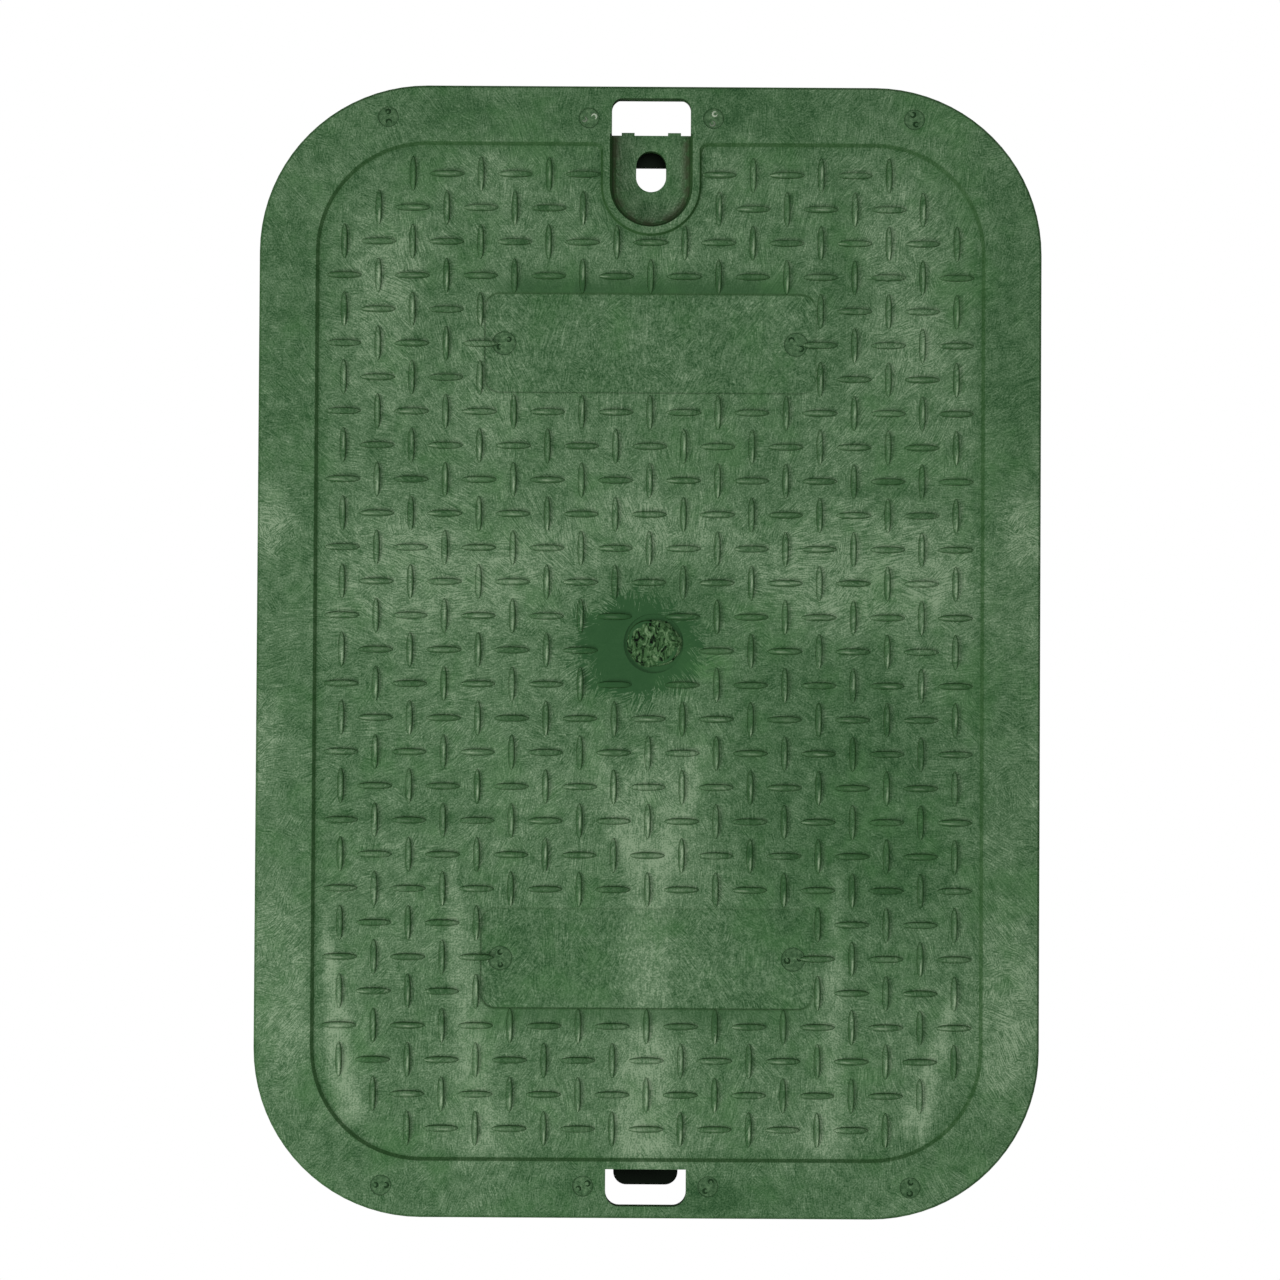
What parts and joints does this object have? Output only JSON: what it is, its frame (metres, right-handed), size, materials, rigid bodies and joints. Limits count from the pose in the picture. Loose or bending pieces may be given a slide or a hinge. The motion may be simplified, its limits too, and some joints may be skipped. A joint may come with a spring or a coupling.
{
  "type": "valve box cover",
  "caption": "Rectangular round-cornered drop-in cover for an in-ground valve box, with a lugged tread panel, bare plates, a bolt pocket, a hooked tongue and a ribbed underside",
  "frame": {"origin": "middle of the cover's outline, on the plane that the foot of its rib frame stands on", "axes": "+Z is the outward normal of the tread side; +Y runs along the cover's length towards the bolt pocket and lift slot, away from the tongue; +X is to the right of +Y seen from above"},
  "size_m": [0.3014, 0.4354, 0.038],
  "materials": {
    "green_plastic": "matte"
  },
  "bodies": {
    "root": {"cover": "green_plastic"}
  },
  "joints": []
}
